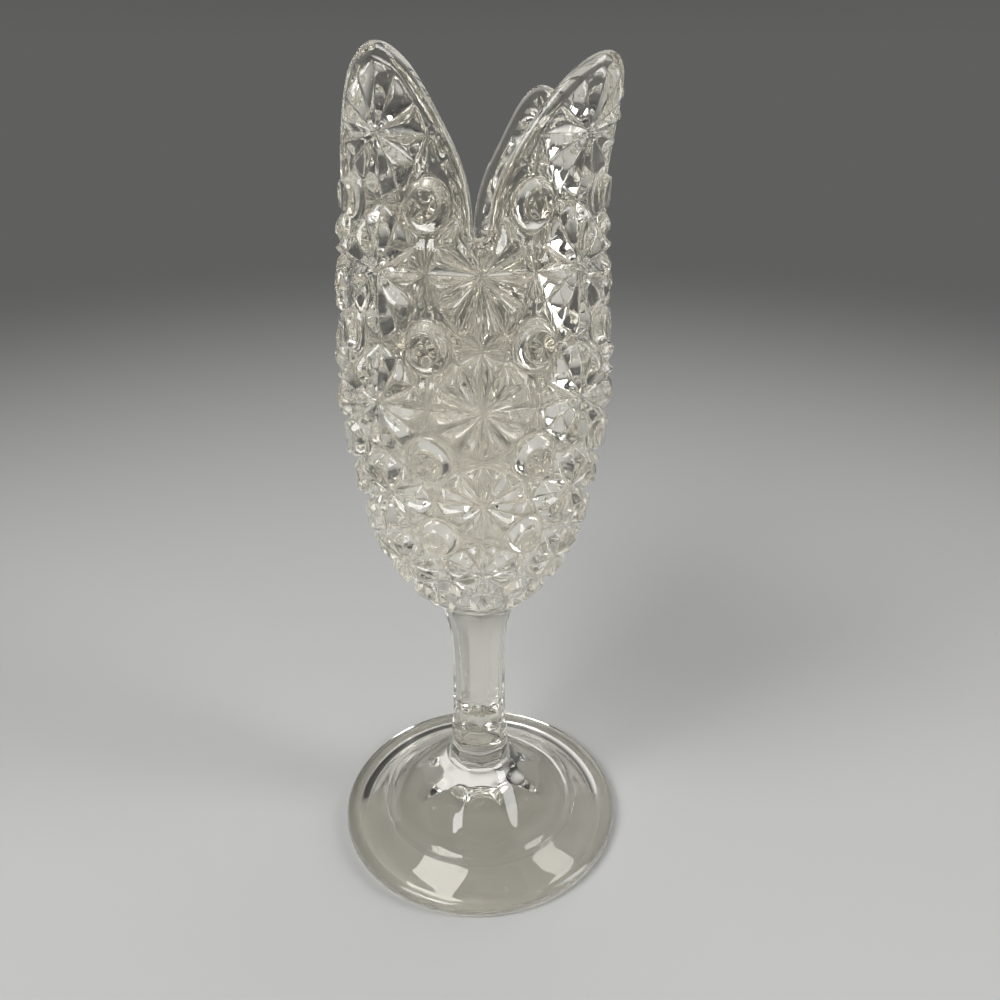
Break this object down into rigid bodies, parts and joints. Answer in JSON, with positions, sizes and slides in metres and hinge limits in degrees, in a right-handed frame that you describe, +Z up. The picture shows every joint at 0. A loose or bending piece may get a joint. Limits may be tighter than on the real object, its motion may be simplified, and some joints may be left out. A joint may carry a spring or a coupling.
{
  "type": "pressed glass pedestal vase",
  "caption": "Clear pressed glass vase: tall bowl with an upswept, deeply notched rim and daisy-and-button relief, on a panelled stem, a collar and a domed hollow foot.",
  "frame": {"origin": "centre of the ring that the foot rests on, at the level of the table", "axes": "+Z up along the stem, -Y towards the front notch of the rim, +X to the right seen from the front"},
  "size_m": [0.0972, 0.0972, 0.2506],
  "materials": {
    "clear_glass": "clear, fire-polished, pressed relief with crisp ridges"
  },
  "bodies": {
    "root": {"bowl": "clear_glass", "stem": "clear_glass", "collar": "clear_glass", "foot": "clear_glass"}
  },
  "joints": []
}
